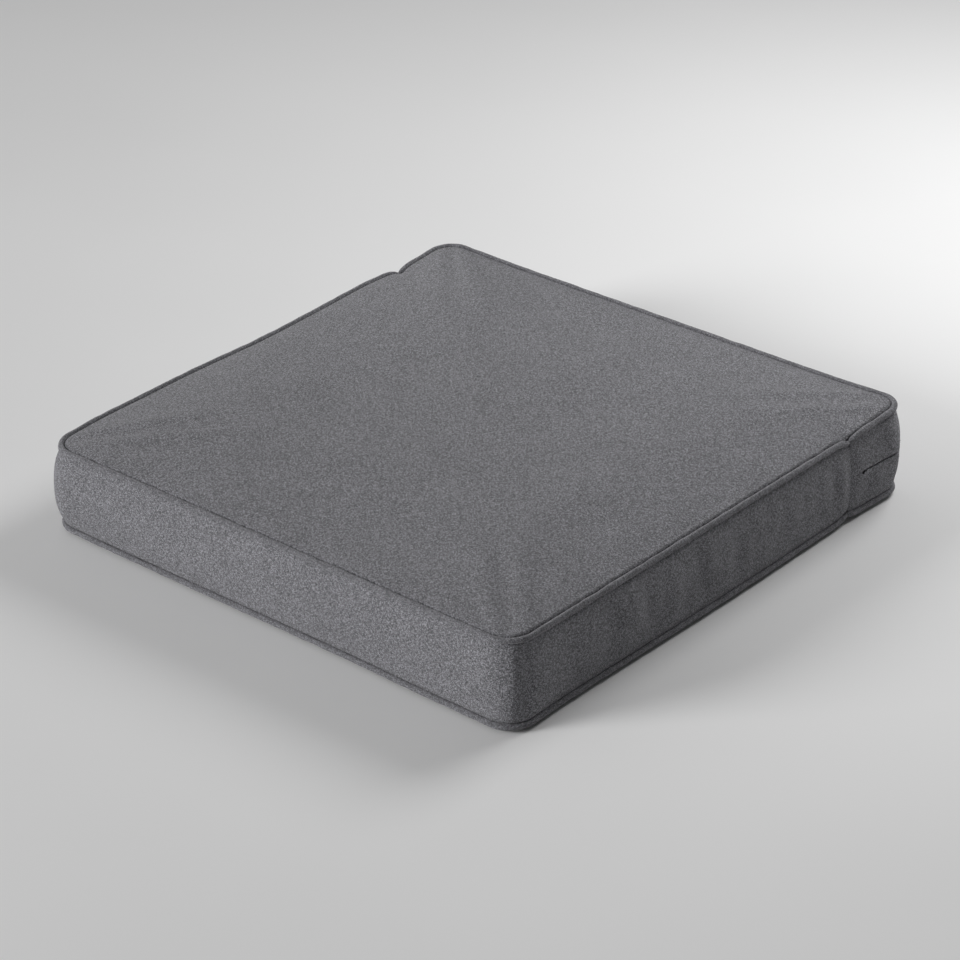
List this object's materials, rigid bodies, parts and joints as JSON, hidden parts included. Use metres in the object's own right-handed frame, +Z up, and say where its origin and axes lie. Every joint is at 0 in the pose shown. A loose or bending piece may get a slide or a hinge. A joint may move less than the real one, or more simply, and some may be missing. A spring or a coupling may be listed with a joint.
{
  "type": "outdoor box cushion",
  "caption": "Square piped box cushion with a zipped woven cover over a foam block, for kneeling or sitting on outdoors.",
  "frame": {"origin": "on the floor under the middle of the cushion, the bottom centre of its bounding box", "axes": "+Z up through the thickness, +Y towards the back edge with the zip, +X towards the right-hand side"},
  "size_m": [0.6, 0.6, 0.108],
  "materials": {
    "cover_fabric": "matt woven outdoor polyester in a dark grey melange, fine plain weave with light and dark flecks",
    "piping_fabric": "the same dark grey woven fabric cut on the bias and wrapped round a cord",
    "piping_cord": "soft white braided polyester filler cord",
    "foam": "open-cell polyurethane upholstery foam, cream, cut faces",
    "fibre": "bonded white polyester fibre wadding",
    "zip_tape": "woven black polyester zip tape",
    "zip_teeth": "black nylon coil",
    "zip_metal": "die-cast zinc with a dark gunmetal lacquer, bright where it rubs"
  },
  "bodies": {
    "cushion": {"foam_core": "foam", "fibre_wrap": "fibre", "top_panel": "cover_fabric", "bottom_panel": "cover_fabric", "boxing_band": "cover_fabric", "upper_zip_band": "cover_fabric", "lower_zip_band": "cover_fabric", "upper_piping_cover": "piping_fabric", "lower_piping_cover": "piping_fabric", "upper_piping_cord": "piping_cord", "lower_piping_cord": "piping_cord", "upper_zip_tape": "zip_tape", "lower_zip_tape": "zip_tape", "upper_zip_teeth": "zip_teeth", "lower_zip_teeth": "zip_teeth"},
    "zip_slider": {"zip_slider": "zip_metal"},
    "zip_pull": {"zip_pull": "zip_metal"}
  },
  "joints": [
    {"name": "slider_travel", "type": "slide", "parent": "cushion", "child": "zip_slider", "axis": [1, 0, 0], "range_m": [0, 0.47]},
    {"name": "pull_flip", "type": "hinge", "parent": "zip_slider", "child": "zip_pull", "pos_m": [-0.235, 0.297, 0.0495], "axis": [0, 0, -1], "range_deg": [0, 175]}
  ]
}
